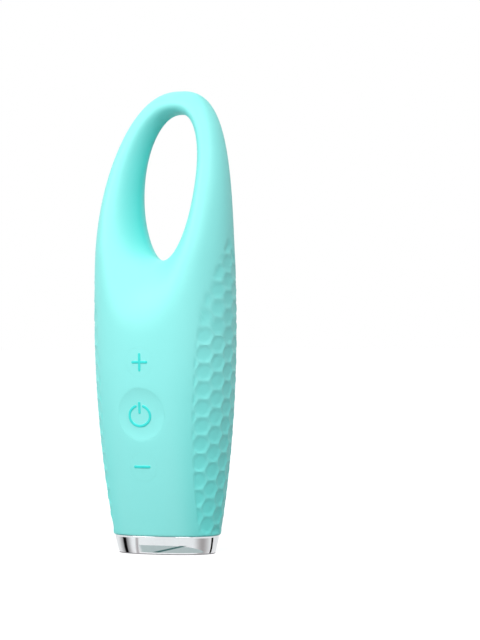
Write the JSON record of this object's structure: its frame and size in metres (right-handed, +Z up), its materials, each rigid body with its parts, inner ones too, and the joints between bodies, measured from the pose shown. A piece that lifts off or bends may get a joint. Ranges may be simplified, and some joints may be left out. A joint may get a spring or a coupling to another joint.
{
  "type": "eye massager",
  "caption": "Hand-held vibrating eye massager: a soft oval silicone body with an open eye loop on top, press keys down its front and a plated foot with a charging jack.",
  "frame": {"origin": "middle of the foot's underside", "axes": "+Z up towards the eye loop, -Y out of the face with the keys, +X to the right seen from the keys"},
  "size_m": [0.0498, 0.036, 0.156],
  "materials": {
    "silicone": "matte moulded silicone, aqua",
    "key_silicone": "matte moulded silicone, aqua",
    "chrome": "bright plated plastic",
    "core_plastic": "moulded, light grey",
    "spine_plastic": "moulded, tough",
    "black_plastic": "moulded, black",
    "board": "glass fibre with green resist",
    "component": "moulded components",
    "led": "clear yellowish resin",
    "seal_rubber": "moulded, black",
    "foam": "closed-cell foam",
    "battery": "shrink-wrapped steel can",
    "steel": "plated steel",
    "brass": "machined",
    "lead_cover": "insulated wire"
  },
  "bodies": {
    "housing": {"silicone_sleeve": "silicone", "loop_spine": "spine_plastic", "core_front": "core_plastic", "core_rear": "core_plastic", "core_screws": "steel", "plated_foot": "chrome", "foot_gasket": "seal_rubber", "charge_jack": "black_plastic", "jack_seal": "seal_rubber", "circuit_board": "board", "board_screws": "steel", "control_chip": "component", "charge_chip": "component", "indicator_leds": "led", "board_passives": "component", "lead_sockets": "core_plastic", "battery_cell": "battery", "battery_terminal": "steel", "battery_foam": "foam", "motor_leads": "lead_cover", "battery_leads": "lead_cover", "jack_leads": "lead_cover", "plus_switch": "steel", "power_switch": "steel", "minus_switch": "steel", "left_motor": "steel", "left_motor_boot": "seal_rubber", "right_motor": "steel", "right_motor_boot": "seal_rubber"},
    "power_button": {"power_key": "key_silicone", "power_plunger": "core_plastic", "power_switch_stem": "black_plastic"},
    "plus_button": {"plus_key": "key_silicone", "plus_plunger": "core_plastic", "plus_switch_stem": "black_plastic"},
    "minus_button": {"minus_key": "key_silicone", "minus_plunger": "core_plastic", "minus_switch_stem": "black_plastic"},
    "left_rotor": {"left_motor_shaft": "steel", "left_eccentric_weight": "brass"},
    "right_rotor": {"right_motor_shaft": "steel", "right_eccentric_weight": "brass"}
  },
  "joints": [
    {"name": "power_press", "type": "slide", "parent": "housing", "child": "power_button", "axis": [0, 1, 0], "range_m": [0, 0.0006], "stiffness_N_per_m": 2500},
    {"name": "plus_press", "type": "slide", "parent": "housing", "child": "plus_button", "axis": [0, 1, 0], "range_m": [0, 0.0006], "stiffness_N_per_m": 2500},
    {"name": "minus_press", "type": "slide", "parent": "housing", "child": "minus_button", "axis": [0, 1, 0], "range_m": [0, 0.0006], "stiffness_N_per_m": 2500},
    {"name": "left_motor_spin", "type": "hinge", "parent": "housing", "child": "left_rotor", "pos_m": [-0.01125, 0.0037, 0.0805], "axis": [0, 0, 1], "continuous": true},
    {"name": "right_motor_spin", "type": "hinge", "parent": "housing", "child": "right_rotor", "pos_m": [0.01125, 0.0037, 0.0805], "axis": [0, 0, 1], "continuous": true}
  ]
}
